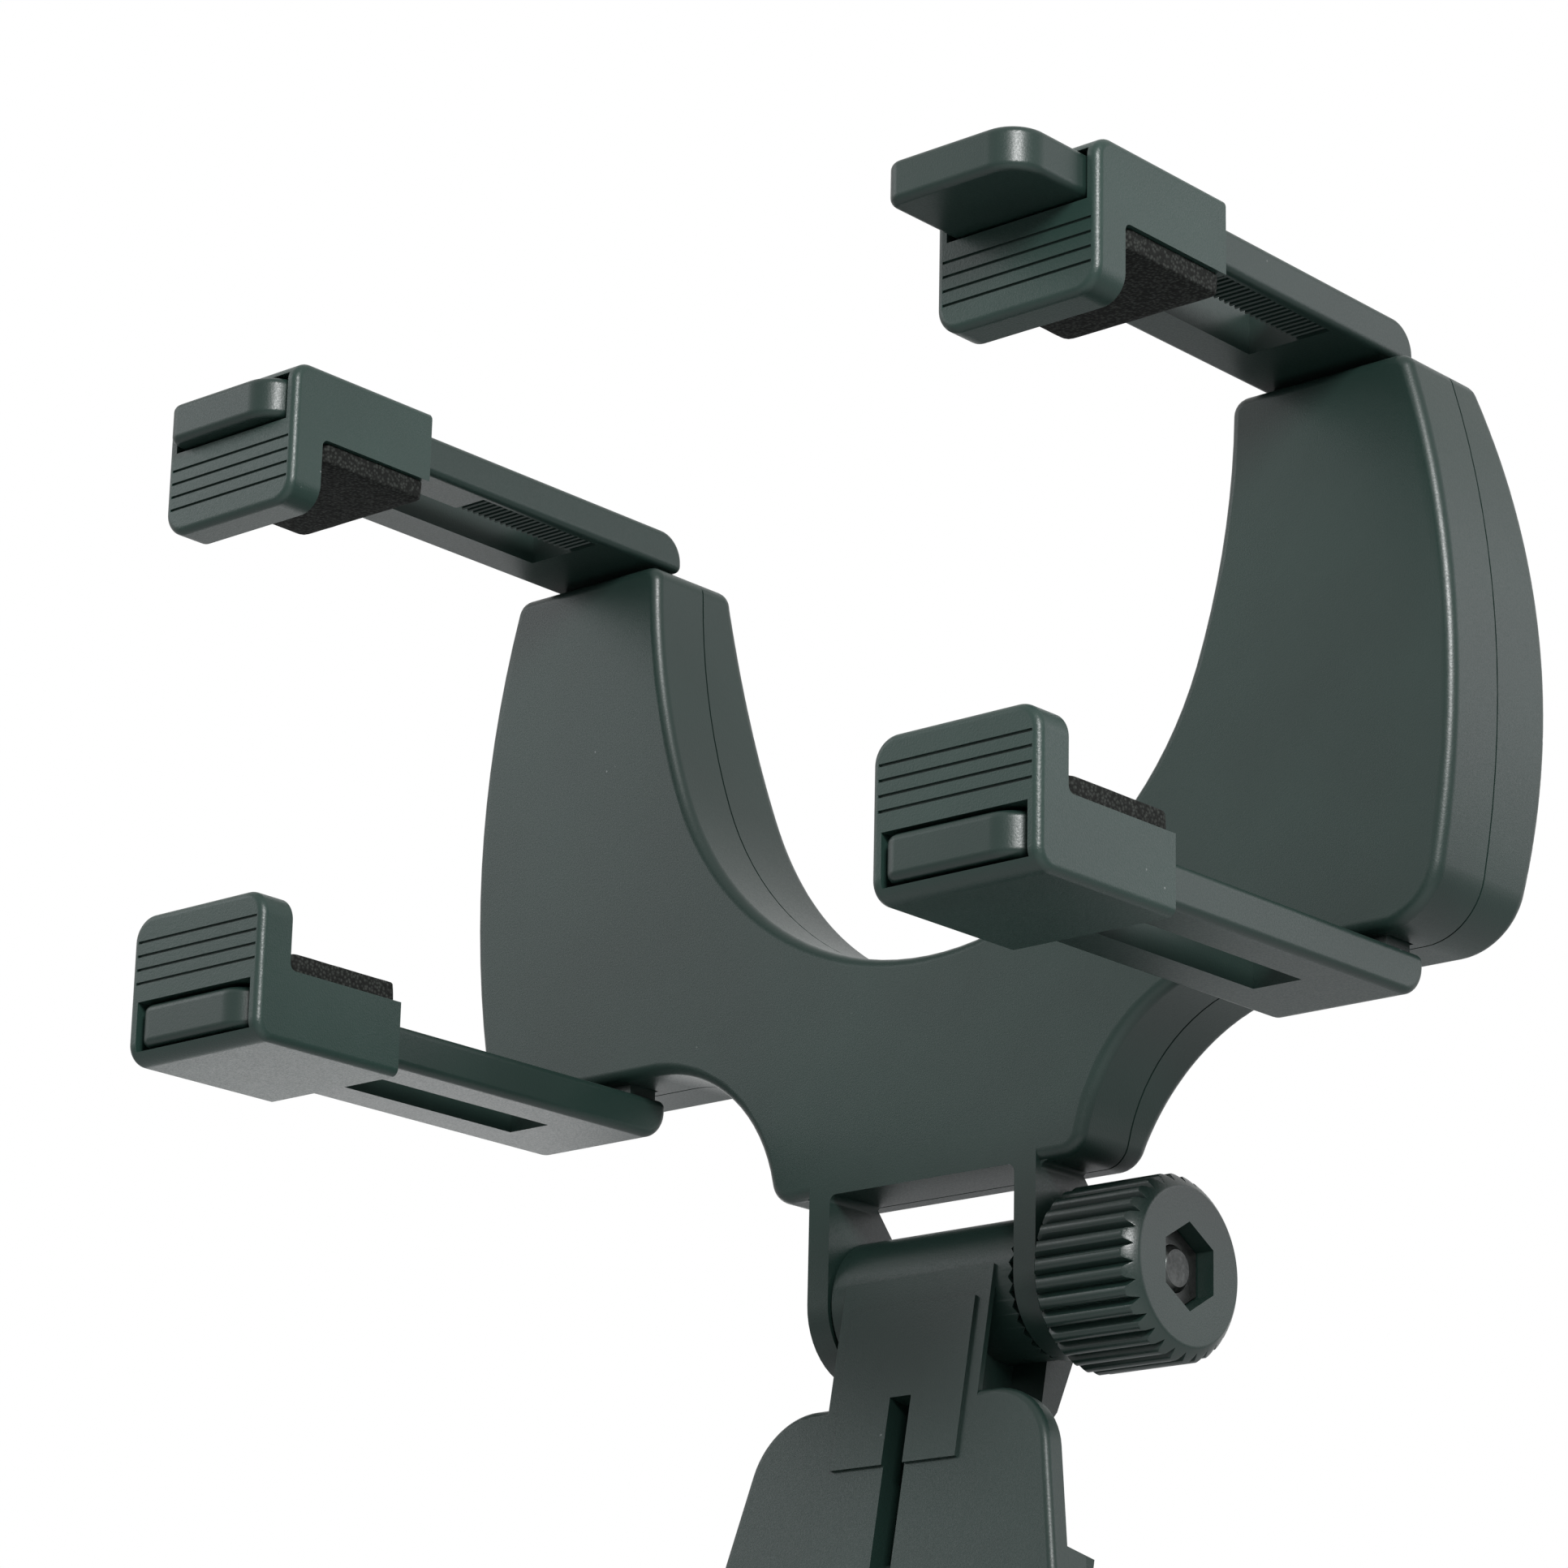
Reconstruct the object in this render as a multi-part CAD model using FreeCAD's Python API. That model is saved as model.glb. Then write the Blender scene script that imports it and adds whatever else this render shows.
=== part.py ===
import FreeCAD, Part
import math
import os

# Rearview mirror phone holder, in millimetres.
# X points right, Y to the rear (away from the driver) and Z up.
# The origin is the middle of the mirror seat, in the plane of the bracket's front face.

V = FreeCAD.Vector

# General fits
slide_gap = 0.3
pin_gap = 0.08
wall = 2.2

# Bracket outline, seen from the front
wing_top = 31.4
wing_bottom = -31.0
wing_reach = 69.8
wing_side_r = 115.0
wing_side_z = -3.0
wing_corner_r = 7.5
u_bottom = -23.4
u_radius = 39.0
u_sweep = 70.0
web_bottom = -48.8
web_fillet = 19.4
web_fillet_x = 41.0
web_corner_r = 3.0
corner_r = 2.0
front_edge_r = 1.3
rear_edge_r = 1.8

# Bracket depth: the rear face is a large cylinder with its axis along X
parting = 8.0
seam = 0.22
crown_radius = 150.0
crown_y = 17.9
crown_z = -5.0

# Arms and hooks: left and right are the same moulding, the bottom ones mirror the top ones.
# Each arm stands on a stem that fills its wing between two margins.
stem_inner_margin = 6.55
stem_outer_margin = 10.25
stem_width = wing_reach - stem_outer_margin - u_radius - stem_inner_margin
arm_inset = stem_outer_margin + stem_width / 2
arm_x = wing_reach - arm_inset
arm_width = 17.2
arm_low = 32.35
arm_high = 37.05
arm_front_top = -60.4
arm_front_bottom = -59.2
arm_rear = 6.8
arm_end_right_r = 4.0
arm_end_left_r = 1.8
arm_edge_r = 0.9
arm_heel_r = 3.5
slot_width = 6.0
slot_front = -35.5
slot_rear = -7.0
tooth_pitch = 0.9
tooth_depth = 0.45
tooth_count = 21
tooth_length = 4.4
hook_width = 20.6
hook_low = 30.45
hook_high = 38.74
hook_length = 21.0
lip_tip = 22.15
lip_thick = 4.4
lip_corner_r = 2.9
hook_crown_r = 2.3
hook_front_r = 0.9
groove_first = 25.2
groove_pitch = 1.55
groove_count = 4
groove_size = 0.3
hook_fronts = {"top_left": -58.4, "top_right": -50.1, "bottom_left": -59.1, "bottom_right": -58.7}
pad_thick = 2.3
pad_inset = 0.5

# Stems that carry the arms in the wings
stem_front = 3.0
stem_rear = 6.4
top_stem_end = -10.0
bottom_stem_end = -20.0
lug_width = 7.0
lug_thick = 2.0
lug_rear = 11.2
top_lug = 2.0
spring_y = 9.0
spring_r = 1.8
spring_wire = 0.35
spring_turns = 6

# Hinge below the bracket
hinge_y = 8.0
hinge_z = -60.7
ear_inner = 12.95
ear_outer = 15.9
ear_radius = 8.0
ear_cove_r = 0.9
bolt_r = 2.5
bolt_head_r = 4.6
bolt_head = 2.0
bolt_square = 5.2
bolt_end = 28.6
washer_r = 5.5
washer_thick = 0.9
knob_end = 30.2
knob_r = 10.05
knob_root = 9.05
knob_face_r = 8.35
knob_chamfer = 1.8
knob_swell = 0.12
knob_ribs = 30
rib_share = 0.6
rib_crown = 0.28
nut_flats = 8.0
nut_thick = 3.2
nut_seat = 24.8

# Holder arm, in its own frame: hinge on the X axis, plate hanging down
tilt = 10.2
barrel_r = 7.75
barrel_end = 12.6
ratchet_teeth = 30
ratchet_depth = 0.6
plate_front = -8.1
plate_thick = 2.6
neck_half = 10.3
neck_skin = 0.7
neck_pocket = 4.6
shoulder = 14.0
shoulder_r = 8.3
shoulder_x = 12.3
flare = 12.0
plate_end = 76.0
plate_corner_r = 12.0
panel_half = 8.6
panel_top = 3.5
panel_end = 21.4
panel_raise = 0.4
foot_slot = 2.9
foot_slot_top = 13.9
foot_slot_end = 68.0

# Clamp cover, jaws and foot behind and in front of the plate
cover_top = 31.6
cover_rear = 2.6
cover_bevel = 5.0
cover_wall = 1.8
rim_thick = 1.2
rim_rear = -0.9
spine_half = 4.6
jaw_top = 48.0
jaw_bottom = 62.0
jaw_front = -2.2
jaw_inner_end = 3.0
cheek_inner = 31.6
cheek_outer = 35.0
cheek_top = 42.0
cheek_bottom = 70.0
cheek_front = -26.0
cheek_lip = 28.8
foot_half = 9.0
foot_top = 56.0
foot_bottom = 70.0
foot_thick = 2.4
foot_pad = 1.2

# Screws
cover_screw_places = [(27.0, -29.0), (-27.0, -29.0), (12.0, -41.0), (-12.0, -41.0)]
clamp_screw_places = [(12.0, 40.5), (-12.0, 40.5), (12.0, 69.0), (-12.0, 69.0)]


def box(x0, x1, y0, y1, z0, z1):
    return Part.makeBox(x1 - x0, y1 - y0, z1 - z0, V(x0, y0, z0))


def rod_x(r, x0, x1, y=0.0, z=0.0):
    return Part.makeCylinder(r, x1 - x0, V(x0, y, z), V(1, 0, 0))


def rod_y(r, y0, y1, x, z):
    return Part.makeCylinder(r, y1 - y0, V(x, y0, z), V(0, 1, 0))


def line(a, b):
    return Part.makeLine(a, b)


def arc(a, b, c):
    return Part.Arc(a, b, c).toShape()


def polar(centre, r, degrees):
    """Point in the XZ plane at an angle from +X towards +Z."""
    a = math.radians(degrees)
    return centre + V(r * math.cos(a), 0, r * math.sin(a))


def face_of(edges):
    return Part.Face(Part.Wire(Part.__sortEdges__(edges)))


def across(edges):
    """The given right-hand edges with their mirror images."""
    return edges + [e.mirror(V(0, 0, 0), V(1, 0, 0)) for e in edges]


def mirror_x(shape):
    return shape.mirror(V(0, 0, 0), V(1, 0, 0))


def mirror_z(shape):
    return shape.mirror(V(0, 0, 0), V(0, 0, 1))


def moved(shape, x=0.0, y=0.0, z=0.0):
    out = shape.copy()
    out.translate(V(x, y, z))
    return out


def edges_where(shape, test):
    return [e for e in shape.Edges if test(e)]


def along(edge, axis):
    """True for a straight edge that runs along the given axis."""
    if len(edge.Vertexes) != 2:
        return False
    d = edge.Vertexes[1].Point - edge.Vertexes[0].Point
    return d.Length > 0.01 and abs(abs(d.normalize().dot(axis)) - 1) < 1e-6


def on_plane(edge, axis, value):
    """True for an edge whose whole length lies on the plane axis = value."""
    b = edge.BoundBox
    low = {"x": b.XMin, "y": b.YMin, "z": b.ZMin}[axis]
    high = {"x": b.XMax, "y": b.YMax, "z": b.ZMax}[axis]
    return abs(low - value) < 1e-3 and abs(high - value) < 1e-3


def save(name, shape):
    os.makedirs("parts", exist_ok=True)
    shape.exportStep("parts/" + name + ".step")


# Bracket outline as one face in the XZ plane
def bracket_face():
    bow = V(0, 0, u_bottom + u_radius)
    side_start = polar(bow, u_radius, u_sweep - 90)
    side_r = (wing_top - side_start.z) / math.cos(math.radians(u_sweep))
    side = polar(side_start, -side_r, u_sweep - 90)
    side_end = polar(side, side_r, 0)
    flank = V(wing_reach - wing_side_r, 0, wing_side_z)
    tip_angle = math.degrees(math.asin((wing_top - flank.z) / wing_side_r))
    corner_z = wing_bottom + wing_corner_r
    corner_angle = math.degrees(math.asin((corner_z - flank.z) / (wing_side_r - wing_corner_r)))
    corner = polar(flank, wing_side_r - wing_corner_r, corner_angle)
    hollow = V(web_fillet_x, 0, wing_bottom - web_fillet)
    foot_z = web_bottom + web_corner_r
    foot_angle = 180 - math.degrees(math.asin((foot_z - hollow.z) / (web_fillet + web_corner_r)))
    foot = polar(hollow, web_fillet + web_corner_r, foot_angle)
    turn = foot_angle - 180
    right = [
        arc(polar(bow, u_radius, -90), polar(bow, u_radius, u_sweep / 2 - 90), side_start),
        arc(side_start, polar(side, side_r, (u_sweep - 90) / 2), side_end),
        line(side_end, polar(flank, wing_side_r, tip_angle)),
        arc(polar(flank, wing_side_r, tip_angle), polar(flank, wing_side_r, 0),
            polar(flank, wing_side_r, corner_angle)),
        arc(polar(corner, wing_corner_r, corner_angle), polar(corner, wing_corner_r, (corner_angle - 90) / 2),
            polar(corner, wing_corner_r, -90)),
        line(polar(corner, wing_corner_r, -90), polar(hollow, web_fillet, 90)),
        arc(polar(hollow, web_fillet, 90), polar(hollow, web_fillet, (90 + foot_angle) / 2),
            polar(hollow, web_fillet, foot_angle)),
        arc(polar(foot, web_corner_r, turn), polar(foot, web_corner_r, (turn - 90) / 2),
            polar(foot, web_corner_r, -90)),
        line(polar(foot, web_corner_r, -90), V(0, 0, web_bottom)),
    ]
    return face_of(across(right))


def crown(inset):
    r = crown_radius - inset
    return rod_x(r, -90, 90, crown_y - crown_radius, crown_z)


def crown_depth(z):
    return crown_y - crown_radius + math.sqrt(crown_radius ** 2 - (z - crown_z) ** 2)


outline = bracket_face()
outer = outline.extrude(V(0, crown_y + 2, 0)).common(crown(0))
corners = edges_where(outer, lambda e: along(e, V(0, 1, 0)) and abs(e.BoundBox.ZMax - wing_top) < 1e-3)
outer = outer.makeFillet(corner_r, corners)
outer = outer.makeFillet(front_edge_r, edges_where(outer, lambda e: on_plane(e, "y", 0)))
rim = edges_where(outer, lambda e: e.BoundBox.YMin > parting + 1)
outer = outer.makeFillet(rear_edge_r, rim)
inside = outline.makeOffset2D(-wall)
inside.translate(V(0, wall, 0))
cavity = inside.extrude(V(0, crown_y, 0)).common(crown(wall))
shell = outer.cut(cavity)

# Front shell: ears, stem slots, guide rails and screw posts
front_shell = shell.common(box(-90, 90, -1, parting, -90, 90))


def ear():
    hub = V(0, hinge_y, hinge_z)
    top = web_bottom + wall
    back = math.radians(30)
    back_touch = hub + V(0, ear_radius * math.cos(back), ear_radius * math.sin(back))
    front_touch = hub + V(0, -ear_radius, 0)
    edges = [
        line(V(0, 0, top), front_touch),
        arc(front_touch, hub + V(0, 0, -ear_radius), back_touch),
        line(back_touch, V(0, parting, web_bottom)),
        line(V(0, parting, web_bottom), V(0, parting, top)),
        line(V(0, parting, top), V(0, 0, top)),
    ]
    plate = face_of(edges).extrude(V(ear_outer - ear_inner, 0, 0))
    return moved(plate, x=ear_inner)


def cove(x, side, front):
    """Rounds the inside corner between the web's underside and one face of an ear."""
    hub = x + side * ear_cove_r
    block = box(min(x, hub), max(x, hub), front, parting, web_bottom - ear_cove_r, web_bottom + 0.1)
    return block.cut(rod_y(ear_cove_r, front - 1, parting + 1, hub, web_bottom - ear_cove_r))


sill = box(-ear_inner, ear_inner, 0, front_edge_r, web_bottom, web_bottom + front_edge_r)
ears = [ear(), cove(ear_inner, -1, 0), cove(ear_outer, 1, 0.6 * front_edge_r)]
front_shell = front_shell.fuse([sill] + ears + [mirror_x(e) for e in ears])
hole_r = bolt_r + pin_gap
front_shell = front_shell.cut(rod_x(hole_r, 0, 20, hinge_y, hinge_z))
half_square = bolt_square / 2 + pin_gap
front_shell = front_shell.cut(box(-20, 0, hinge_y - half_square, hinge_y + half_square,
                                  hinge_z - half_square, hinge_z + half_square))
half_slot = stem_width / 2 + slide_gap
for side in (-1, 1):
    x = side * arm_x
    for rail in (-1, 1):
        rail_x = x + rail * (half_slot + 0.8)
        front_shell = front_shell.fuse(box(rail_x - 0.8, rail_x + 0.8, wall - 0.2, parting - 1, -8, 20))
    front_shell = front_shell.cut(box(x - half_slot, x + half_slot, stem_front - slide_gap,
                                      stem_rear + slide_gap, wing_top - 6, wing_top + 1))
    front_shell = front_shell.cut(box(x - half_slot, x + half_slot, wall, stem_rear + slide_gap,
                                      wing_bottom - 1, wing_bottom + 4))
for x, z in cover_screw_places:
    front_shell = front_shell.fuse(rod_y(3.2, wall - 0.2, parting, x, z))
    front_shell = front_shell.cut(rod_y(1.3, wall + 1, parting, x, z))
save("front_shell", front_shell.removeSplitter())

# Rear cover: a narrow seam groove, screw posts and counterbores
rear_cover = shell.common(box(-90, 90, parting, 90, -90, 90))
seam_ring = outline.cut(outline.makeOffset2D(-seam)).extrude(V(0, seam, 0))
rear_cover = rear_cover.cut(moved(seam_ring, y=parting))
screws = []
for x, z in cover_screw_places:
    head_seat = parting + 2.5
    rear_cover = rear_cover.fuse(rod_y(4.2, parting, crown_y, x, z).common(outer))
    rear_cover = rear_cover.cut(rod_y(1.7, parting, crown_y, x, z))
    rear_cover = rear_cover.cut(rod_y(3.0, head_seat, crown_y + 2, x, z))
    screw = rod_y(2.6, head_seat, head_seat + 1.8, x, z).fuse(rod_y(1.25, wall + 1.4, head_seat, x, z))
    cross = box(x - 1.6, x + 1.6, head_seat + 0.9, head_seat + 3, z - 0.35, z + 0.35)
    cross = cross.fuse(box(x - 0.35, x + 0.35, head_seat + 0.9, head_seat + 3, z - 1.6, z + 1.6))
    screws.append(screw.cut(cross))
save("rear_cover", rear_cover.removeSplitter())
save("cover_screws", Part.makeCompound(screws))


# Arms: a slotted bar, ratchet teeth beside the slot on the right, a stem into the wing
def bar(front):
    half = arm_width / 2
    body = box(-half, half, front, arm_rear, arm_low, arm_high)
    for x, r in ((half, arm_end_right_r), (-half, arm_end_left_r)):
        end = edges_where(body, lambda e: along(e, V(0, 0, 1)) and abs(e.BoundBox.YMin - front) < 1e-3
                          and abs(e.BoundBox.XMin - x) < 1e-3)
        body = body.makeFillet(r, end)
    heel = edges_where(body, lambda e: along(e, V(1, 0, 0)) and e.BoundBox.YMin > arm_rear - 0.01
                       and e.BoundBox.ZMin > arm_high - 0.01)
    body = body.makeFillet(arm_heel_r, heel)
    for z in (arm_high, arm_low):
        tip = edges_where(body, lambda e: on_plane(e, "z", z) and abs(e.BoundBox.YMin - front) < 1e-3)
        body = body.makeFillet(arm_edge_r, tip)
    slot = box(-slot_width / 2, slot_width / 2, slot_front, slot_rear, arm_low - 1, arm_high + 1)
    tooth_front = slot_rear - tooth_count * tooth_pitch
    points = []
    for i in range(tooth_count):
        y = tooth_front + i * tooth_pitch
        points += [V(0, y, arm_low), V(0, y + tooth_pitch, arm_low + tooth_depth)]
    points += [V(0, slot_rear, arm_low - 1), V(0, tooth_front, arm_low - 1), points[0]]
    comb = Part.Face(Part.makePolygon(points)).extrude(V(tooth_length, 0, 0))
    return body.cut([slot, moved(comb, x=slot_width / 2)])


def top_arm():
    stem = box(-stem_width / 2, stem_width / 2, stem_front, stem_rear, top_stem_end, arm_low + 1)
    lug = box(-lug_width / 2, lug_width / 2, stem_rear - 1, lug_rear, top_lug, top_lug + lug_thick)
    return bar(arm_front_top).fuse([stem, lug]).removeSplitter()


def bottom_arm():
    stem = box(-stem_width / 2, stem_width / 2, wall, stem_rear, -arm_low - 1, bottom_stem_end)
    lug = box(-lug_width / 2, lug_width / 2, stem_rear - 1, lug_rear, bottom_stem_end - lug_thick, bottom_stem_end)
    return mirror_z(bar(arm_front_bottom)).fuse([stem, lug]).removeSplitter()


# Arm springs: stretched between the lugs of the two stems of a wing
def spring():
    low = bottom_stem_end + spring_wire + 0.1
    high = top_lug - spring_wire - 0.1
    steps = 10 * spring_turns
    rings = []
    for i in range(steps + 1):
        turn = 36.0 * i
        ring = [V(spring_r + spring_wire * math.cos(math.radians(60 * k)), 0,
                  spring_wire * math.sin(math.radians(60 * k))) for k in range(7)]
        ring = Part.makePolygon(ring)
        ring.rotate(V(0, 0, 0), V(0, 0, 1), turn)
        rings.append(moved(ring, z=low + (high - low) * i / steps))
    return moved(Part.makeLoft(rings, True, True), y=spring_y)


# Hooks: a sleeve round the bar, open through the front, with a grooved lip
def hook():
    half = hook_width / 2
    body = box(-half, half, 0, hook_length, hook_low, hook_high)
    body = body.fuse(box(-half, half, 0, lip_thick, lip_tip, hook_high)).removeSplitter()
    tips = edges_where(body, lambda e: along(e, V(0, 1, 0)) and e.BoundBox.ZMax < lip_tip + 0.01)
    body = body.makeFillet(lip_corner_r, tips)
    brow = edges_where(body, lambda e: along(e, V(1, 0, 0)) and on_plane(e, "y", 0) and on_plane(e, "z", hook_high))
    body = body.makeFillet(hook_crown_r, brow)
    inner = edges_where(body, lambda e: along(e, V(1, 0, 0)) and abs(e.BoundBox.YMin - lip_thick) < 0.01
                        and abs(e.BoundBox.ZMin - hook_low) < 0.01)
    body = body.makeFillet(0.8, inner)
    seat = hook_high - hook_crown_r - 0.01

    def border(e):
        if on_plane(e, "y", 0):
            return not (along(e, V(1, 0, 0)) and e.BoundBox.ZMin > seat)
        return e.BoundBox.ZMin > seat and (on_plane(e, "x", half) or on_plane(e, "x", -half))

    body = body.makeFillet(hook_front_r, edges_where(body, border))
    bore_x = arm_width / 2 + slide_gap
    bore_z = 0.4
    bore = box(-bore_x, bore_x, -1, hook_length + 1, arm_low - bore_z, arm_high + bore_z)
    grooves = []
    for i in range(groove_count):
        z = groove_first + i * groove_pitch
        grooves.append(box(-half + hook_front_r, half - hook_front_r, -1, groove_size,
                           z - groove_size / 2, z + groove_size / 2))
    return body.cut([bore] + grooves)


def hook_pad():
    half = hook_width / 2 - pad_inset
    return box(-half, half, lip_thick + 0.8, hook_length - 0.3, hook_low - pad_thick, hook_low)


for name, arm in (("top_arm_", top_arm()), ("bottom_arm_", bottom_arm())):
    save(name + "right", moved(arm, x=arm_x))
    save(name + "left", moved(arm, x=-arm_x))
for side, x in (("left", -arm_x), ("right", arm_x)):
    save("spring_" + side, moved(spring(), x=x))
    for level in ("top", "bottom"):
        y = hook_fronts[level + "_" + side]
        pieces = [hook(), hook_pad()]
        if level == "bottom":
            pieces = [mirror_z(p) for p in pieces]
        save("hook_" + level + "_" + side, moved(pieces[0], x=x, y=y))
        save("hook_pad_" + level + "_" + side, moved(pieces[1], x=x, y=y))


# Hinge: bolt with a square neck, washer, fluted knob with a captive nut
def hexagon(flats, x0, x1):
    r = flats / math.sqrt(3)
    points = [V(x0, r * math.cos(a), r * math.sin(a))
              for a in [math.radians(90 + 60 * i) for i in range(7)]]
    return Part.Face(Part.makePolygon(points)).extrude(V(x1 - x0, 0, 0))


def turned(points):
    """Solid of revolution about X from (x, radius) points that begin and end on the axis."""
    wire = Part.makePolygon([V(x, r, 0) for x, r in points] + [V(points[0][0], points[0][1], 0)])
    return Part.Face(wire).revolve(V(0, 0, 0), V(1, 0, 0), 360)


def knob():
    start = ear_outer + washer_thick + 0.1
    step = 360.0 / knob_ribs

    def at(r, ribs):
        a = math.radians(ribs * step)
        return V(start, r * math.cos(a), r * math.sin(a))

    edges = []
    for i in range(knob_ribs):
        foot = at(knob_r - rib_crown, i + rib_share / 2)
        edges.append(arc(at(knob_r - rib_crown, i - rib_share / 2), at(knob_r, i), foot))
        edges.append(line(foot, at(knob_root, i + 0.5)))
        edges.append(line(at(knob_root, i + 0.5), at(knob_r - rib_crown, i + 1 - rib_share / 2)))
    star = face_of(edges).extrude(V(knob_end - start, 0, 0))
    neck = V(knob_end - knob_chamfer, knob_r + 0.1, 0)
    brim = V(knob_end, knob_face_r, 0)
    swell = V((neck.x + brim.x) / 2 + knob_swell, (neck.y + brim.y) / 2 + knob_swell, 0)
    corners = [brim, V(knob_end, 0, 0), V(start, 0, 0), V(start, knob_r - 0.6, 0), V(start + 0.7, neck.y, 0), neck]
    profile = [line(a, b) for a, b in zip(corners, corners[1:])] + [arc(neck, swell, brim)]
    blank = face_of(profile).revolve(V(0, 0, 0), V(1, 0, 0), 360)
    pocket = hexagon(nut_flats + 0.3, nut_seat, knob_end + 1)
    return star.common(blank).cut([pocket, rod_x(bolt_r + pin_gap, start - 1, knob_end)])


def at_hinge(shape):
    return moved(shape, y=hinge_y, z=hinge_z)


head = turned([(-ear_outer, 0), (-ear_outer, bolt_head_r), (-ear_outer - 0.7, bolt_head_r),
               (-ear_outer - 1.6, bolt_head_r * 0.6), (-ear_outer - bolt_head, 0)])
square = box(-ear_outer, -ear_inner, -bolt_square / 2, bolt_square / 2, -bolt_square / 2, bolt_square / 2)
bolt = head.fuse([square, rod_x(bolt_r, -ear_outer, bolt_end - 0.5),
                  Part.makeCone(bolt_r, bolt_r - 0.5, 0.5, V(bolt_end - 0.5, 0, 0), V(1, 0, 0))])
washer = rod_x(washer_r, ear_outer, ear_outer + washer_thick)
washer = washer.cut(rod_x(bolt_r + pin_gap, 0, 40))
nut = hexagon(nut_flats, nut_seat, nut_seat + nut_thick).cut(rod_x(bolt_r + pin_gap, 0, 40))
save("hinge_bolt", at_hinge(bolt.removeSplitter()))
save("hinge_washer", at_hinge(washer))
save("hinge_knob", at_hinge(knob()))
save("hinge_nut", at_hinge(nut))


# Holder arm: barrel with end teeth, tapered neck, flared plate with a slot and a spine behind its upper end
def flare_x(s):
    start = V(shoulder_x, 0, -shoulder - shoulder_r) + polar(V(0, 0, 0), shoulder_r, flare)
    return start.x + (s + start.z) * math.tan(math.radians(flare))


def plate_edges(top):
    """Right-hand outline from the given distance below the hinge to the rounded lower end."""
    centre_z = plate_corner_r - plate_end
    touch_z = centre_z + plate_corner_r * math.sin(math.radians(flare))
    touch = V(flare_x(-touch_z), 0, touch_z)
    centre = V(touch.x - plate_corner_r * math.cos(math.radians(flare)), 0, centre_z)
    lower = [
        arc(touch, polar(centre, plate_corner_r, (flare - 90) / 2), polar(centre, plate_corner_r, -90)),
        line(polar(centre, plate_corner_r, -90), V(0, 0, -plate_end)),
    ]
    if top > shoulder:
        start = V(flare_x(top), 0, -top)
        return [line(V(0, 0, -top), start), line(start, touch)] + lower
    hub = V(shoulder_x, 0, -shoulder - shoulder_r)
    return [
        line(V(0, 0, -top), V(neck_half, 0, -top)),
        line(V(neck_half, 0, -top), V(neck_half, 0, -shoulder)),
        line(V(neck_half, 0, -shoulder), polar(hub, shoulder_r, 90)),
        arc(polar(hub, shoulder_r, 90), polar(hub, shoulder_r, (90 + flare) / 2), polar(hub, shoulder_r, flare)),
        line(polar(hub, shoulder_r, flare), touch),
    ] + lower


def at_holder(shape):
    out = shape.copy()
    out.rotate(V(0, 0, 0), V(1, 0, 0), -tilt)
    return at_hinge(out)


plate_rear = plate_front + plate_thick
plate = moved(face_of(across(plate_edges(shoulder - 2))), y=plate_front).extrude(V(0, plate_thick, 0))
lower_front = edges_where(plate, lambda e: on_plane(e, "y", plate_front) and e.BoundBox.ZMax < 0.01 - shoulder
                          and e.BoundBox.ZMin < -shoulder - 1)
plate = plate.makeFillet(0.9, lower_front)
neck_points = [(plate_front, 0), (plate_front, -shoulder - 1), (plate_rear, -shoulder - 1), (plate_rear, -28),
               (1.5, -18), (5.2, -12.2), (6.8, -6.1), (7.5, -2), (6.0, 0), (plate_front, 0)]
neck = Part.Face(Part.makePolygon([V(-neck_half, y, z) for y, z in neck_points]))
neck = neck.extrude(V(2 * neck_half, 0, 0))
barrel = rod_x(barrel_r, -barrel_end, barrel_end)
teeth = []
for i in range(ratchet_teeth):
    half = math.pi * barrel_r / ratchet_teeth
    notch = Part.Face(Part.makePolygon([V(barrel_end + 0.01, barrel_r + 1, -half), V(barrel_end + 0.01, barrel_r + 1, half),
                                        V(barrel_end - ratchet_depth, barrel_r + 1, 0),
                                        V(barrel_end + 0.01, barrel_r + 1, -half)]))
    notch = notch.extrude(V(0, -5, 0))
    notch.rotate(V(0, 0, 0), V(1, 0, 0), 360.0 * i / ratchet_teeth)
    teeth.append(notch)
barrel = barrel.cut(teeth)
panel = box(-panel_half, panel_half, plate_front - panel_raise, plate_front + 1, -panel_end, -panel_top)
spine = box(-spine_half, spine_half, plate_front + 1, rim_rear, -cover_top, -foot_slot_top)
pocket = box(neck_half - neck_pocket, neck_half + 1, plate_front + neck_skin, 2.5, -shoulder, 0)
holder = plate.fuse([neck, panel, spine]).cut([pocket, mirror_x(pocket)]).fuse(barrel)
slot = box(-foot_slot / 2, foot_slot / 2, plate_front - 2, rim_rear - 0.6, -foot_slot_end, -foot_slot_top)
holder = holder.cut([slot, rod_x(bolt_r + pin_gap, -20, 20)])
for x, s in clamp_screw_places:
    holder = holder.cut(rod_y(1.05, plate_rear - 1.7, plate_rear, x, -s))
save("holder_arm", at_holder(holder.removeSplitter()))

# Clamp cover: bevelled tub behind the plate, with a rim at its upper end and side slots for the jaws
cover_face = face_of(across(plate_edges(cover_top)))
tub = moved(cover_face, y=plate_rear).extrude(V(0, cover_rear - plate_rear, 0))
tub = tub.makeChamfer(cover_bevel, edges_where(tub, lambda e: on_plane(e, "y", cover_rear)))
room = moved(cover_face.makeOffset2D(-cover_wall), y=plate_rear)
room = room.extrude(V(0, cover_rear - cover_wall - plate_rear, 0))
room_rear = cover_rear - cover_wall
room = room.makeChamfer(cover_bevel - 1, edges_where(room, lambda e: on_plane(e, "y", room_rear)))
cover = tub.cut(room)
rim_half = flare_x(cover_top)
cover = cover.fuse(box(-rim_half, rim_half, plate_rear, rim_rear, -cover_top - rim_thick, -cover_top))
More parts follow.
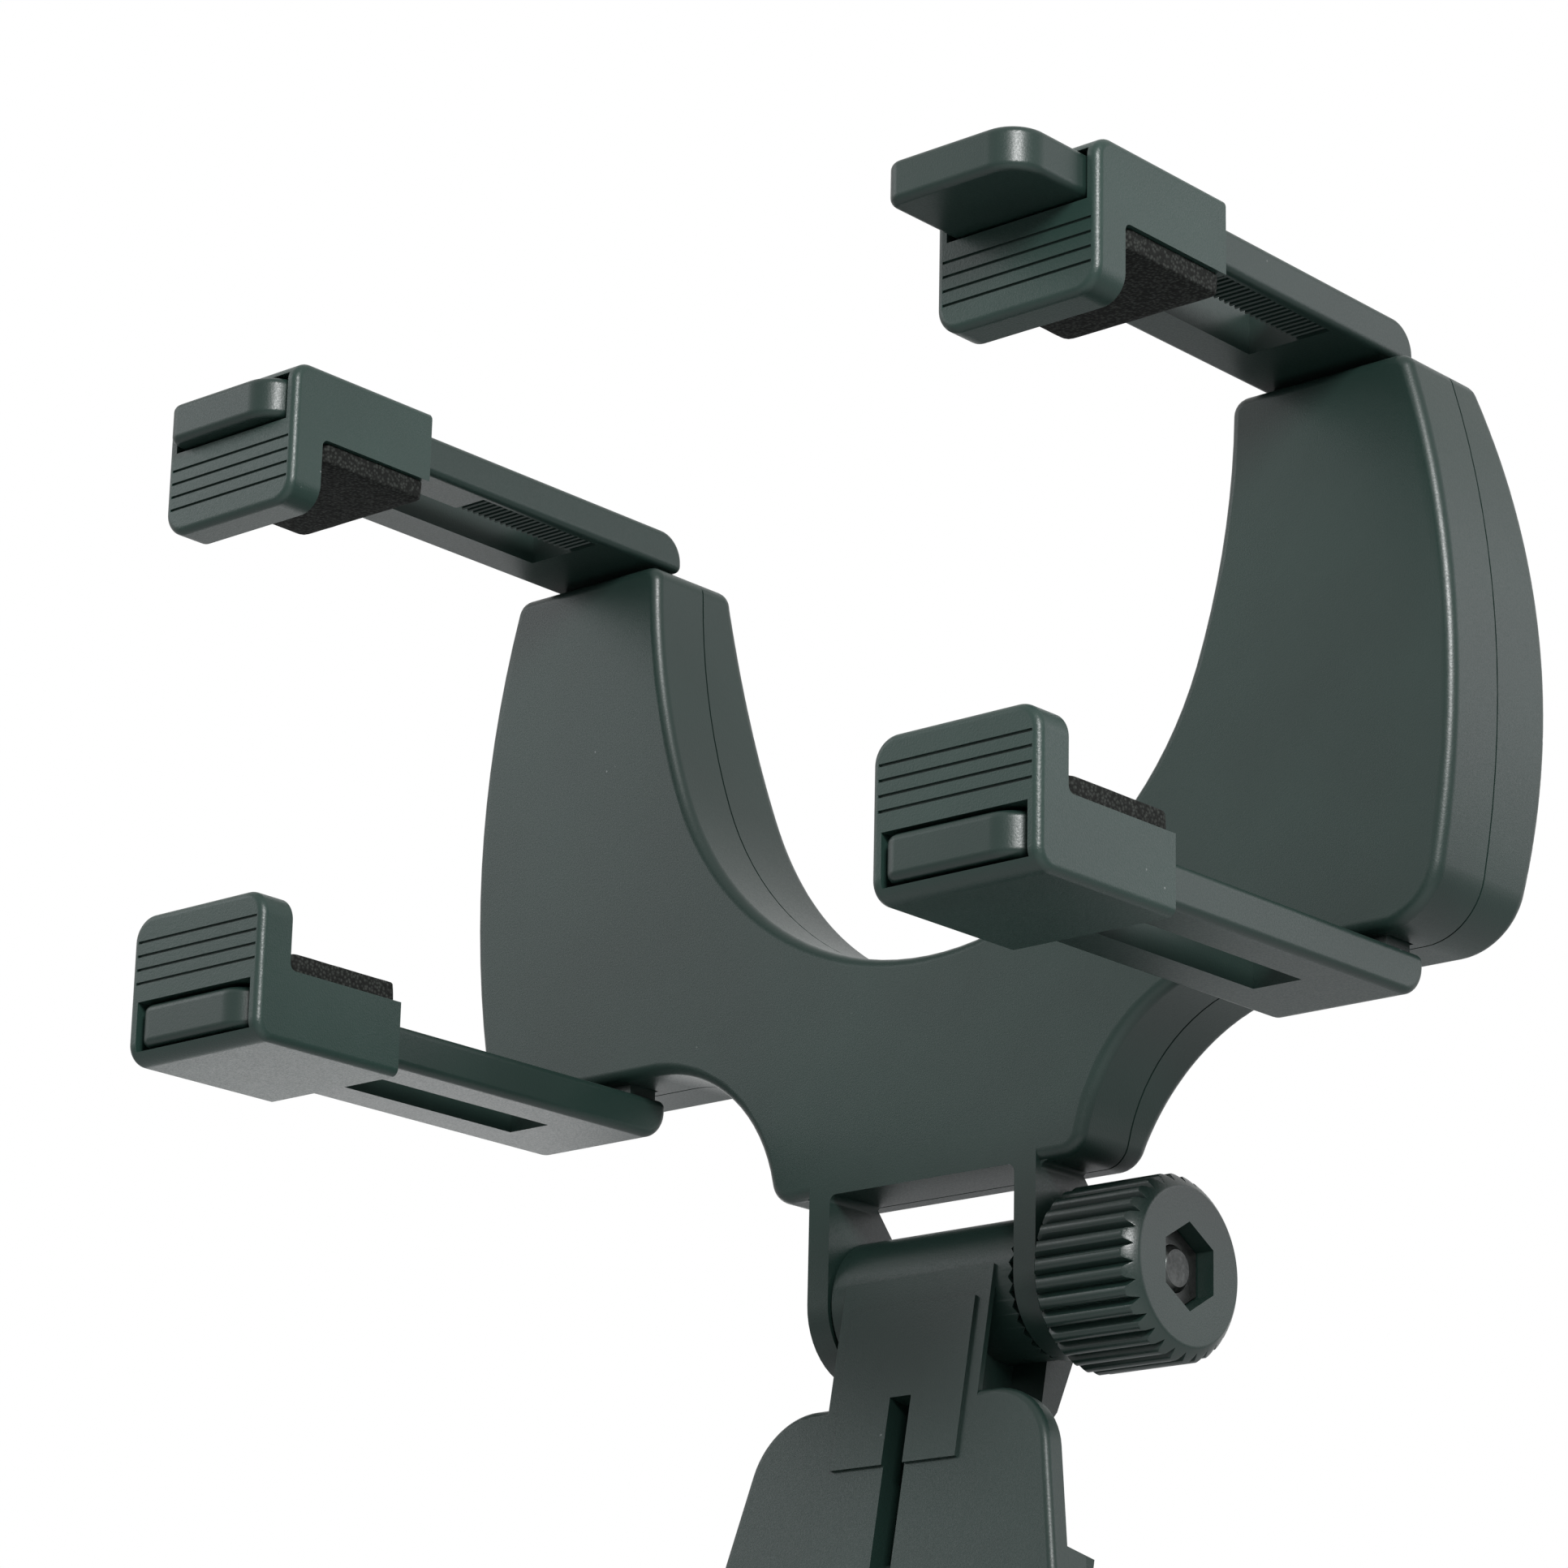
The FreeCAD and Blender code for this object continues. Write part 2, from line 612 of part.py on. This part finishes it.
cover = cover.cut(box(-50, 50, jaw_front - slide_gap, room_rear, -jaw_bottom - slide_gap, -jaw_top + slide_gap))
screws = []
for x, s in clamp_screw_places:
    cover = cover.fuse(rod_y(3.2, plate_rear, cover_rear, x, -s))
    cover = cover.cut([rod_y(1.3, plate_rear, cover_rear, x, -s), rod_y(2.5, -0.4, cover_rear + 1, x, -s)])
    screws.append(rod_y(2.2, -0.4, 1.2, x, -s).fuse(rod_y(1.0, plate_rear - 1.6, -0.4, x, -s)))
    cross = box(x - 1.4, x + 1.4, 0.5, 3, -s - 0.3, -s + 0.3)
    screws[-1] = screws[-1].cut(cross.fuse(box(x - 0.3, x + 0.3, 0.5, 3, -s - 1.4, -s + 1.4)))
save("clamp_cover", at_holder(cover.removeSplitter()))
save("clamp_screws", at_holder(Part.makeCompound(screws)))


# Side jaws: a flat bar in the cover and a cheek that reaches forward past the plate
def jaw():
    jaw_rear = room_rear - slide_gap
    profile = [V(jaw_inner_end, jaw_rear, 0), V(cheek_outer - 2, jaw_rear, 0), V(cheek_outer, jaw_rear - 2, 0),
               V(cheek_outer, cheek_front + 2, 0), V(cheek_outer - 2, cheek_front, 0), V(cheek_lip, cheek_front, 0),
               V(cheek_lip, cheek_front + 1.6, 0), V(cheek_inner, cheek_front + 3.2, 0), V(cheek_inner, jaw_front, 0),
               V(jaw_inner_end, jaw_front, 0), V(jaw_inner_end, jaw_rear, 0)]
    body = moved(Part.Face(Part.makePolygon(profile)).extrude(V(0, 0, cheek_bottom - cheek_top)), z=-cheek_bottom)
    cut_above = box(0, cheek_inner, jaw_front - 1, jaw_rear + 1, -jaw_top, -cheek_top + 1)
    cut_below = box(0, cheek_inner, jaw_front - 1, jaw_rear + 1, -cheek_bottom - 1, -jaw_bottom)
    body = body.cut([cut_above, cut_below])
    cheek = edges_where(body, lambda e: along(e, V(1, 0, 0)) and abs(e.BoundBox.YMin - cheek_front) < 0.01)
    return body.makeFillet(3.0, cheek)


def jaw_pad():
    return box(cheek_inner - 1.8, cheek_inner, cheek_front + 3.6, plate_front - 1.1, 1.5 - cheek_bottom, -cheek_top - 1.5)


save("jaw_right", at_holder(jaw()))
save("jaw_left", at_holder(mirror_x(jaw())))
save("jaw_pad_right", at_holder(jaw_pad()))
save("jaw_pad_left", at_holder(mirror_x(jaw_pad())))

# Foot: a ledge under the phone that slides in the slot of the plate
foot_face = plate_front - slide_gap
foot = box(-foot_half, foot_half, foot_face - foot_thick, foot_face, -foot_bottom, -foot_top)
foot = foot.fuse([
    box(-foot_half, foot_half, cheek_front, foot_face, -foot_bottom, -foot_bottom + foot_thick),
    box(-foot_half, foot_half, cheek_front, cheek_front + 2, -foot_bottom, -foot_bottom + 8),
]).removeSplitter()
foot = foot.makeFillet(2.5, edges_where(foot, lambda e: along(e, V(0, 1, 0)) and e.BoundBox.ZMin > -foot_bottom + 7.9))
stem_half = foot_slot / 2 - slide_gap
foot = foot.fuse([
    box(-stem_half, stem_half, foot_face - 1, plate_rear + slide_gap + 1, -foot_bottom + 4, -foot_top - 3),
    box(-4, 4, plate_rear + slide_gap, jaw_front - 0.7, -foot_bottom + 3, -foot_top - 2),
])
ledge = -foot_bottom + foot_thick
foot_cushion = box(-foot_half + 1, foot_half - 1, cheek_front + 2.4, foot_face - foot_thick - 0.4, ledge, ledge + foot_pad)
save("foot", at_holder(foot.removeSplitter()))
save("foot_pad", at_holder(foot_cushion))
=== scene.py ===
import math

import bmesh
import bpy
from mathutils import Matrix, Vector, noise


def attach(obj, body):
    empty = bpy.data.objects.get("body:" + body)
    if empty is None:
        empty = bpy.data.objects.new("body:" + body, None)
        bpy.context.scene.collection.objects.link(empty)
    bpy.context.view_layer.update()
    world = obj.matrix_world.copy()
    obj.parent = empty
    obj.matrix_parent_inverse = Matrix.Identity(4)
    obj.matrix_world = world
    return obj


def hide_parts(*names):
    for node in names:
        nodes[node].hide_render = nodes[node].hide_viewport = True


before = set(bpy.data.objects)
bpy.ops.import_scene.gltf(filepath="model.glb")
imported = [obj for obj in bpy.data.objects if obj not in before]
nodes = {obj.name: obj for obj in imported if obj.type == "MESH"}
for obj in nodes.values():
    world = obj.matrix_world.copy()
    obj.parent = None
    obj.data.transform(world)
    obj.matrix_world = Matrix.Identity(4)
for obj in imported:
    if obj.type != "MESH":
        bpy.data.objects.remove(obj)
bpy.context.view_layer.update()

# Placing of the phone clamp: it hangs tilted from the hinge
HINGE = Vector((0.0, 0.008, -0.0607))
TILT = math.radians(10.2)
CLAMP_FRAME = Matrix.Translation(HINGE) @ Matrix.Rotation(-TILT, 4, "X")
UPRIGHT = Matrix.Identity(4)

# Ratchet teeth of the arms, as in the part's source
ARM_INNER_FACE = 0.03235
TOOTH_LENGTH = 0.0044
CLOSE = 2e-6

# Moulded edges
WELD_REACH = 1e-6
EDGE_WIDTH = 0.0002
FLAT_ANGLE = math.radians(0.5)
EDGE_ANGLE = math.radians(40.0)
CRISP_ANGLE = math.radians(30.0)

# Foam pads
FOAM_CUTS = 11
FOAM_TAPER = 0.012
FOAM_CROWN = 0.06
FOAM_EDGE_POWER = 10
FOAM_GRAIN = 0.00006
FOAM_GRAIN_SCALE = 900.0

# Stage
FLOOR_HALF = 3.0
FLOOR_LEVEL = -0.34
SOFT_LIGHT = 0.55
LAMPS = [
    ("key", (-0.66, -0.50, 0.36), (0.0, 0.0, -0.02), 0.40, 1.3, (0.97, 1.0, 1.03)),
    ("softbox", (0.52, -0.42, 0.26), (0.0, -0.01, -0.02), 0.20, 9.0, (1.0, 1.0, 1.0)),
    ("right", (0.32, 0.27, 0.11), (0.03, 0.0, -0.02), 0.22, 0.26, (1.0, 0.97, 1.03)),
    ("low", (-0.21, 0.115, -0.095), (-0.052, -0.03, -0.038), 0.08, 0.032, (1.0, 1.0, 1.0)),
]
CAMERA_PLACE = Vector((0.34229, -0.40907, -0.17204))
CAMERA_RIGHT = Vector((0.7520, 0.6588, 0.0216))
CAMERA_FORWARD = Vector((-0.6335, 0.7133, 0.3000))
CAMERA_LENS = 115.95
CAMERA_SENSOR = 36.0


# Material building
class Shader:
    """A principled material with short calls for adding nodes."""

    def __init__(self, name, color, roughness, metallic=0.0, gloss=0.5):
        self.material = bpy.data.materials.new(name)
        self.material.use_nodes = True
        self.tree = self.material.node_tree
        self.bsdf = self.tree.nodes["Principled BSDF"]
        self.bsdf.inputs["Base Color"].default_value = color + (1.0,)
        self.bsdf.inputs["Roughness"].default_value = roughness
        self.bsdf.inputs["Metallic"].default_value = metallic
        self.bsdf.inputs["Specular IOR Level"].default_value = gloss
        self.material.diffuse_color = color + (1.0,)
        self.coords = self.add("ShaderNodeTexCoord").outputs["Object"]

    def add(self, kind, **settings):
        node = self.tree.nodes.new(kind)
        for key, value in settings.items():
            setattr(node, key, value)
        return node

    def link(self, source, target):
        self.tree.links.new(source, target)

    def noise(self, scale, detail=2.0, roughness=0.5):
        node = self.add("ShaderNodeTexNoise")
        node.inputs["Scale"].default_value = scale
        node.inputs["Detail"].default_value = detail
        node.inputs["Roughness"].default_value = roughness
        self.link(self.coords, node.inputs["Vector"])
        return node.outputs["Fac"]

    def cells(self, scale):
        node = self.add("ShaderNodeTexVoronoi")
        node.inputs["Scale"].default_value = scale
        self.link(self.coords, node.inputs["Vector"])
        return node.outputs["Distance"]

    def ramp(self, source, stops):
        node = self.add("ShaderNodeValToRGB")
        points = node.color_ramp.elements
        while len(points) < len(stops):
            points.new(0.5)
        for point, (place, color) in zip(points, stops):
            point.position = place
            point.color = tuple(color) + (1.0,)
        self.link(source, node.inputs["Fac"])
        return node.outputs["Color"]

    def spread(self, source, low, high):
        """Spreads the middle range of a noise, where most of it lies, over low to high."""
        node = self.add("ShaderNodeMapRange")
        node.inputs["From Min"].default_value = 0.3
        node.inputs["From Max"].default_value = 0.7
        node.inputs["To Min"].default_value = low
        node.inputs["To Max"].default_value = high
        self.link(source, node.inputs["Value"])
        return node.outputs["Result"]

    def mix(self, fac, a, b):
        node = self.add("ShaderNodeMix", data_type="RGBA")
        self.link(fac, node.inputs["Factor"])
        self.link(a, node.inputs["A"])
        node.inputs["B"].default_value = tuple(b) + (1.0,)
        return node.outputs["Result"]

    def bump(self, height, strength, depth, under=None):
        node = self.add("ShaderNodeBump")
        node.inputs["Strength"].default_value = strength
        node.inputs["Distance"].default_value = depth
        self.link(height, node.inputs["Height"])
        if under is not None:
            self.link(under, node.inputs["Normal"])
        return node.outputs["Normal"]


def tint(color, share):
    return tuple(c * share for c in color)


def moulded(name, color, rough, grain, gloss=0.3):
    """Satin black plastic with a fine spark-eroded grain, faint flow marks and a little dust."""
    s = Shader(name, color, rough, gloss=gloss)
    flow = s.noise(42.0, 3.0)
    body = s.ramp(flow, [(0.3, tint(color, 0.86)), (0.7, tint(color, 1.14))])
    dust = s.ramp(s.cells(420.0), [(0.035, (1.0, 1.0, 1.0)), (0.06, (0.0, 0.0, 0.0))])
    where = s.ramp(s.noise(55.0), [(0.62, (0.0, 0.0, 0.0)), (0.66, (0.55, 0.55, 0.55))])
    both = s.add("ShaderNodeMath", operation="MULTIPLY")
    s.link(dust, both.inputs[0])
    s.link(where, both.inputs[1])
    s.link(s.mix(both.outputs["Value"], body, (0.16, 0.17, 0.17)), s.bsdf.inputs["Base Color"])
    fine = s.noise(5200.0, 2.0, 0.6)
    s.link(s.spread(fine, rough - 0.05, rough + 0.07), s.bsdf.inputs["Roughness"])
    broad = s.bump(s.noise(160.0, 2.0), 0.05, 0.0004)
    s.link(s.bump(fine, grain, 0.00004, broad), s.bsdf.inputs["Normal"])
    return s.material


def foam(name, color):
    """Closed-cell foam: matt, with small dark pits."""
    s = Shader(name, color, 0.9, gloss=0.12)
    pits = s.cells(2600.0)
    shade = s.ramp(pits, [(0.05, tint(color, 1.8)), (0.6, tint(color, 0.35))])
    s.link(shade, s.bsdf.inputs["Base Color"])
    s.link(s.spread(s.noise(1500.0), 0.82, 0.98), s.bsdf.inputs["Roughness"])
    lumps = s.bump(s.noise(1100.0, 3.0), 0.5, 0.0002)
    s.link(s.bump(pits, 0.6, 0.0002, lumps), s.bsdf.inputs["Normal"])
    return s.material


def plated(name, color, rough):
    """Zinc-plated steel with faint turning marks and stains."""
    s = Shader(name, color, rough, 1.0)
    stain = s.noise(380.0, 3.0)
    s.link(s.ramp(stain, [(0.3, tint(color, 0.7)), (0.7, tint(color, 1.1))]), s.bsdf.inputs["Base Color"])
    s.link(s.spread(s.noise(2400.0), rough - 0.08, rough + 0.12), s.bsdf.inputs["Roughness"])
    s.link(s.bump(s.noise(3000.0), 0.15, 0.00003), s.bsdf.inputs["Normal"])
    return s.material


BLACK = (0.0075, 0.018, 0.0147)
shell_plastic = moulded("satin_black_plastic", tint(BLACK, 0.85), 0.37, 0.34)
hook_plastic = moulded("grained_black_plastic", tint(BLACK, 1.15), 0.38, 0.65)
knob_plastic = moulded("knob_black_plastic", tint(BLACK, 0.8), 0.33, 0.30, 0.37)
pad_foam = foam("black_foam", (0.015, 0.0165, 0.015))
steel = plated("plated_steel", (0.42, 0.42, 0.41), 0.32)
dark_steel = plated("blackened_steel", (0.06, 0.064, 0.062), 0.40)


def finish_of(name):
    if name.startswith("hinge_") and name != "hinge_knob":
        return dark_steel
    if name in ("cover_screws", "clamp_screws"):
        return steel
    if name.startswith("spring"):
        return steel
    if name == "hinge_knob":
        return knob_plastic
    if name.startswith("hook_") and "pad" not in name:
        return hook_plastic
    return shell_plastic


def paint(obj, material):
    obj.data.materials.clear()
    obj.data.materials.append(material)


def mark_teeth(obj):
    """Marks the tips of an arm's ratchet teeth: the edges along X on its inner face, as long as the row is wide."""
    marks = obj.data.attributes.new("bevel_weight_edge", "FLOAT", "EDGE")
    points = [v.co for v in obj.data.vertices]
    for edge in obj.data.edges:
        a, b = (points[i] for i in edge.vertices)
        along = max(abs(a.y - b.y), abs(a.z - b.z)) < CLOSE
        whole = abs(abs(a.x - b.x) - TOOTH_LENGTH) < CLOSE
        if along and whole and abs(abs(a.z) - ARM_INNER_FACE) < CLOSE:
            marks.data[edge.index].value = 1.0


def soften(obj, width):
    """Rounds sharp moulded edges as far as they leave room, or only blunts the marked edges where there are any."""
    weld = obj.modifiers.new("weld", "WELD")
    weld.merge_threshold = WELD_REACH
    flat = obj.modifiers.new("flat", "DECIMATE")
    flat.decimate_type = "DISSOLVE"
    flat.angle_limit = FLAT_ANGLE
    edge = obj.modifiers.new("edge", "BEVEL")
    edge.width = width
    if "bevel_weight_edge" in obj.data.attributes:
        edge.segments = 1
        edge.limit_method = "WEIGHT"
        edge.use_clamp_overlap = False
        crisp = obj.modifiers.new("crisp", "EDGE_SPLIT")
        crisp.split_angle = CRISP_ANGLE
    else:
        edge.segments = 2
        edge.limit_method = "ANGLE"
        edge.angle_limit = EDGE_ANGLE
        edge.use_clamp_overlap = True
    normals = obj.modifiers.new("normals", "WEIGHTED_NORMAL")
    normals.keep_sharp = True
    for polygon in obj.data.polygons:
        polygon.use_smooth = True


for name, obj in nodes.items():
    paint(obj, finish_of(name))
    if finish_of(name) in (shell_plastic, hook_plastic, knob_plastic):
        if "arm_" in name:
            mark_teeth(obj)
        soften(obj, EDGE_WIDTH)


# Foam pads: crowned, with soft edges, flat on the face that they are glued to
def foam_pad(node, body, place, glued):
    """A pad in its CAD node's box. glued is the axis and the sign of the side on its carrier, in the place's frame."""
    inside = place.inverted()
    corners = [inside @ v.co for v in nodes[node].data.vertices]
    low = Vector([min(c[i] for c in corners) for i in range(3)])
    high = Vector([max(c[i] for c in corners) for i in range(3)])
    axis, sign = glued
    mid = (low + high) / 2
    half = (high - low) / 2
    mesh = bmesh.new()
    bmesh.ops.create_cube(mesh, size=2.0)
    bmesh.ops.subdivide_edges(mesh, edges=mesh.edges[:], cuts=FOAM_CUTS, use_grid_fill=True)
    sides = [i for i in range(3) if i != axis]
    for v in mesh.verts:
        u = v.co.copy()
        edge = max(abs(u[i]) for i in sides) ** FOAM_EDGE_POWER
        rise = (1.0 - sign * u[axis]) / 2
        point = Vector((0.0, 0.0, 0.0))
        for i in sides:
            point[i] = mid[i] + half[i] * u[i] * (1.0 - FOAM_TAPER * rise * rise)
        point[axis] = mid[axis] + half[axis] * (sign - 2.0 * sign * rise * (1.0 - FOAM_CROWN * edge))
        grain = noise.noise(point * FOAM_GRAIN_SCALE) * FOAM_GRAIN * rise
        point[axis] += sign * (grain - FOAM_GRAIN * rise)
        v.co = point
    data = bpy.data.meshes.new("foam_" + node)
    mesh.to_mesh(data)
    mesh.free()
    pad = bpy.data.objects.new("foam_" + node, data)
    bpy.context.scene.collection.objects.link(pad)
    data.transform(place)
    for polygon in data.polygons:
        polygon.use_smooth = True
    smooth = pad.modifiers.new("soft", "SUBSURF")
    smooth.levels = 1
    smooth.render_levels = 1
    paint(pad, pad_foam)
    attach(pad, body)
    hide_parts(node)


for side in ("left", "right"):
    foam_pad("hook_pad_top_" + side, "hook_top_" + side, UPRIGHT, (2, 1))
    foam_pad("hook_pad_bottom_" + side, "hook_bottom_" + side, UPRIGHT, (2, -1))
foam_pad("jaw_pad_left", "jaw_left", CLAMP_FRAME, (0, -1))
foam_pad("jaw_pad_right", "jaw_right", CLAMP_FRAME, (0, 1))
foam_pad("foot_pad", "foot", CLAMP_FRAME, (2, -1))


# Stage: pale floor below, white surround, soft lamps
def floor():
    data = bpy.data.meshes.new("floor")
    r = FLOOR_HALF
    z = FLOOR_LEVEL
    data.from_pydata([(-r, -r, z), (r, -r, z), (r, r, z), (-r, r, z)], [], [(0, 1, 2, 3)])
    plane = bpy.data.objects.new("floor", data)
    bpy.context.scene.collection.objects.link(plane)
    s = Shader("pale_floor", (0.8, 0.8, 0.8), 0.7)
    shade = s.ramp(s.noise(3.0), [(0.3, (0.79, 0.79, 0.79)), (0.7, (0.82, 0.82, 0.82))])
    s.link(shade, s.bsdf.inputs["Base Color"])
    paint(plane, s.material)


def surround():
    """White where it is seen, mirrored or looked through, and a softer light on matt faces."""
    world = bpy.data.worlds.new("studio")
    bpy.context.scene.world = world
    world.use_nodes = True
    tree = world.node_tree
    tree.nodes.clear()
    seen = tree.nodes.new("ShaderNodeBackground")
    seen.inputs["Color"].default_value = (1.0, 1.0, 1.0, 1.0)
    seen.inputs["Strength"].default_value = 1.0
    soft = tree.nodes.new("ShaderNodeBackground")
    soft.inputs["Color"].default_value = (0.95, 0.98, 1.0, 1.0)
    soft.inputs["Strength"].default_value = SOFT_LIGHT
    path = tree.nodes.new("ShaderNodeLightPath")
    either = tree.nodes.new("ShaderNodeMath")
    either.operation = "MAXIMUM"
    tree.links.new(path.outputs["Is Camera Ray"], either.inputs[0])
    tree.links.new(path.outputs["Is Glossy Ray"], either.inputs[1])
    any_of = tree.nodes.new("ShaderNodeMath")
    any_of.operation = "MAXIMUM"
    tree.links.new(either.outputs["Value"], any_of.inputs[0])
    tree.links.new(path.outputs["Is Transmission Ray"], any_of.inputs[1])
    blend = tree.nodes.new("ShaderNodeMixShader")
    tree.links.new(any_of.outputs["Value"], blend.inputs["Fac"])
    tree.links.new(soft.outputs["Background"], blend.inputs[1])
    tree.links.new(seen.outputs["Background"], blend.inputs[2])
    out = tree.nodes.new("ShaderNodeOutputWorld")
    tree.links.new(blend.outputs["Shader"], out.inputs["Surface"])


def lamp(name, place, target, size, watts, color):
    data = bpy.data.lights.new(name, "AREA")
    data.shape = "SQUARE"
    data.size = size
    data.energy = watts
    data.color = color
    obj = bpy.data.objects.new(name, data)
    bpy.context.scene.collection.objects.link(obj)
    obj.location = place
    obj.rotation_euler = (Vector(target) - Vector(place)).to_track_quat("-Z", "Y").to_euler()


def camera():
    data = bpy.data.cameras.new("camera")
    data.lens = CAMERA_LENS
    data.sensor_width = CAMERA_SENSOR
    data.sensor_fit = "HORIZONTAL"
    obj = bpy.data.objects.new("camera", data)
    bpy.context.scene.collection.objects.link(obj)
    forward = CAMERA_FORWARD.normalized()
    right = (CAMERA_RIGHT - forward * CAMERA_RIGHT.dot(forward)).normalized()
    up = right.cross(forward)
    turn = Matrix((right, up, -forward)).transposed().to_4x4()
    obj.matrix_world = Matrix.Translation(CAMERA_PLACE) @ turn
    bpy.context.scene.camera = obj


floor()
surround()
for row in LAMPS:
    lamp(*row)
camera()
bpy.context.scene.view_settings.view_transform = "Standard"
